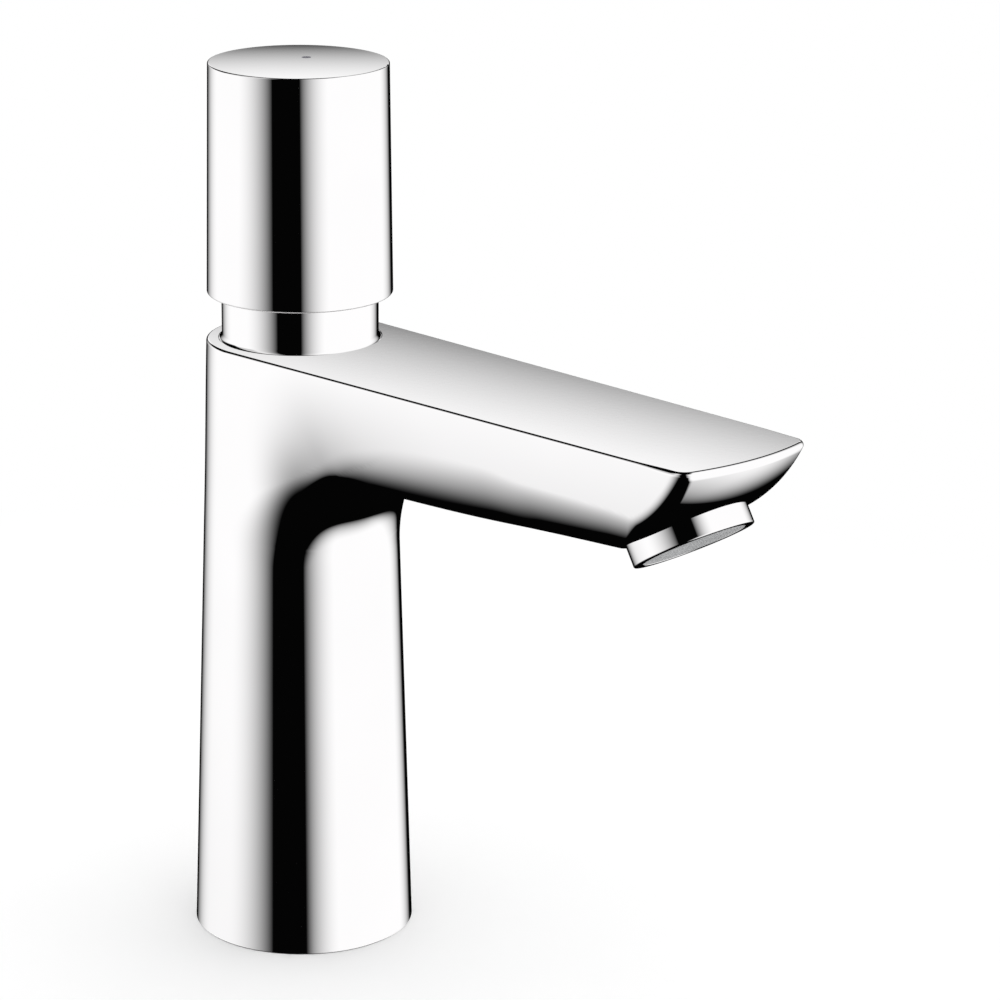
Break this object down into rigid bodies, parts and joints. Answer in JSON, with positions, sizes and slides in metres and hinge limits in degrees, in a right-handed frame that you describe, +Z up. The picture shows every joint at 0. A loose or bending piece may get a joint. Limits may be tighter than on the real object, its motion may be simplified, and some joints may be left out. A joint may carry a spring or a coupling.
{
  "type": "push timed tap",
  "caption": "Deck-mounted self-closing basin tap with a tall tapered column, a flat-topped spout with a tilted outlet, and a push cap that springs back.",
  "frame": {"origin": "on the column's axis, in the plane of the base, which is the top of the deck", "axes": "+Z up along the column, -Y towards the spout's tip, +X across the spout"},
  "size_m": [0.046, 0.1498, 0.2354],
  "materials": {
    "chromed_brass": "bright chrome plate, polished",
    "brass": "machined",
    "stainless": "turned",
    "zinc_steel": "zinc plated",
    "rubber": "matt",
    "plastic_dark": "moulded",
    "plastic_pale": "moulded",
    "plastic_grey": "moulded",
    "marker_blue": "smooth"
  },
  "bodies": {
    "tap_body": {"aerator_gasket": "rubber", "aerator_insert": "plastic_grey", "aerator_ring": "chromed_brass", "backnut": "brass", "base_seal": "rubber", "body": "chromed_brass", "bonnet": "brass", "cartridge_housing": "brass", "cartridge_o_rings": "rubber", "clamp_washer": "plastic_pale", "flow_regulator": "plastic_pale", "guide_ring": "plastic_dark", "inlet_strainer": "stainless", "inlet_tail": "brass", "metering_pin": "stainless", "neck_sleeve": "chromed_brass", "return_spring": "stainless", "rubber_washer": "rubber", "seat_gasket": "rubber", "steel_washer": "zinc_steel", "stem_seal": "rubber", "tail_seal": "rubber"},
    "push_button": {"push_cap": "chromed_brass", "cap_marker": "marker_blue", "cap_carrier": "plastic_dark", "cap_grub_screw": "stainless", "push_stem": "stainless", "piston": "plastic_pale", "piston_lip_seal": "rubber", "valve_disc": "brass", "valve_washer": "rubber", "valve_nut": "brass"}
  },
  "joints": [
    {"name": "push", "type": "slide", "parent": "tap_body", "child": "push_button", "axis": [0, 0, -1], "range_m": [0, 0.007], "stiffness_N_per_m": 1100, "springref_m": -0.014, "deforming": ["return_spring"]}
  ]
}
